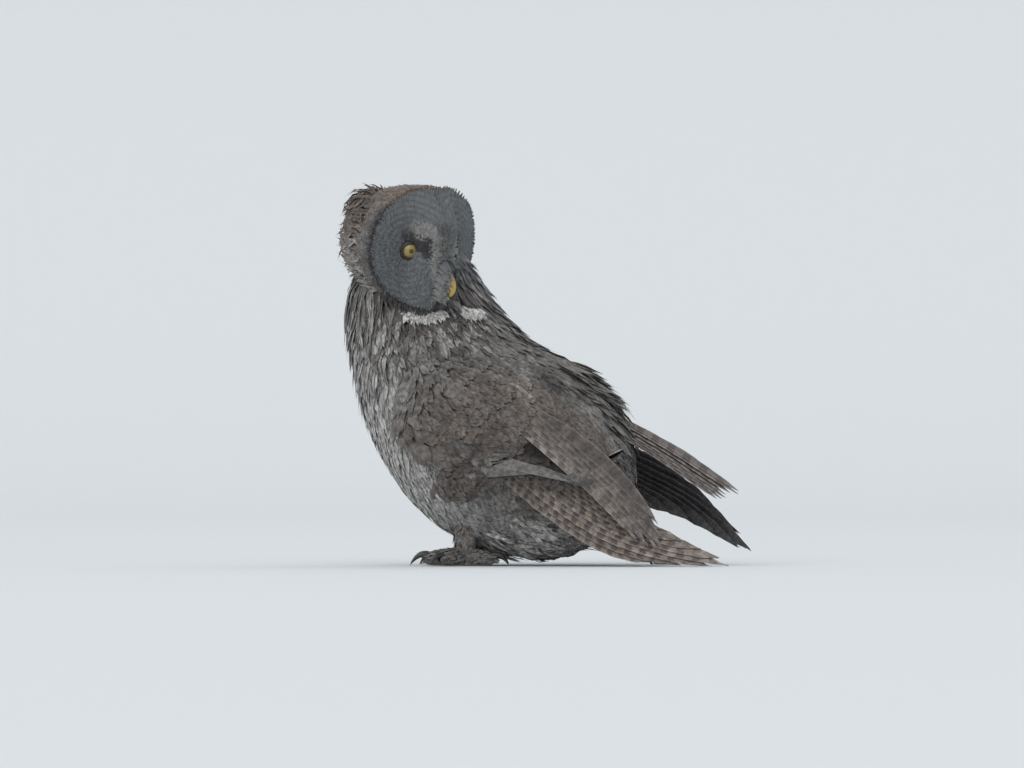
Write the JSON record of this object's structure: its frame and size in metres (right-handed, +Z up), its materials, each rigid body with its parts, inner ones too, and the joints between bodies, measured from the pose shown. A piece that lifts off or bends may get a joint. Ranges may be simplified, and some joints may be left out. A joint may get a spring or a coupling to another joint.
{
  "type": "great grey owl",
  "caption": "Life-size great grey owl standing still with its head turned over its left shoulder, wind-raised nape feathers, the near wing let down to the floor and the far wing held behind.",
  "frame": {"origin": "middle of the bounding box's base, on the floor under the soles", "axes": "-X the way the bird heads, +X towards its tail, -Y its left side, +Z up"},
  "size_m": [0.4786, 0.2242, 0.4476],
  "materials": {
    "eye": "glossy",
    "bill": "satin",
    "claw": "satin",
    "wing_feathers": "matte feathers",
    "flight_feathers": "matte feathers",
    "tail_feathers": "matte feathers",
    "face_feathers": "matte feathers",
    "leg_feathers": "matte feathers",
    "body_feathers": "soft matte feathers"
  },
  "bodies": {
    "root": {"bill_lower": "bill", "bill_upper": "bill", "claw_left_hind": "claw", "claw_left_inner": "claw", "claw_left_middle": "claw", "claw_left_outer": "claw", "claw_right_hind": "claw", "claw_right_inner": "claw", "claw_right_middle": "claw", "claw_right_outer": "claw", "eye_left": "eye", "eye_right": "eye", "foot_left": "leg_feathers", "foot_right": "leg_feathers", "head": "face_feathers", "leg_left": "leg_feathers", "leg_right": "leg_feathers", "neck": "body_feathers", "primaries_left": "flight_feathers", "primaries_right": "flight_feathers", "tail": "tail_feathers", "torso": "body_feathers", "wing_left": "wing_feathers", "wing_right": "wing_feathers"}
  },
  "joints": []
}
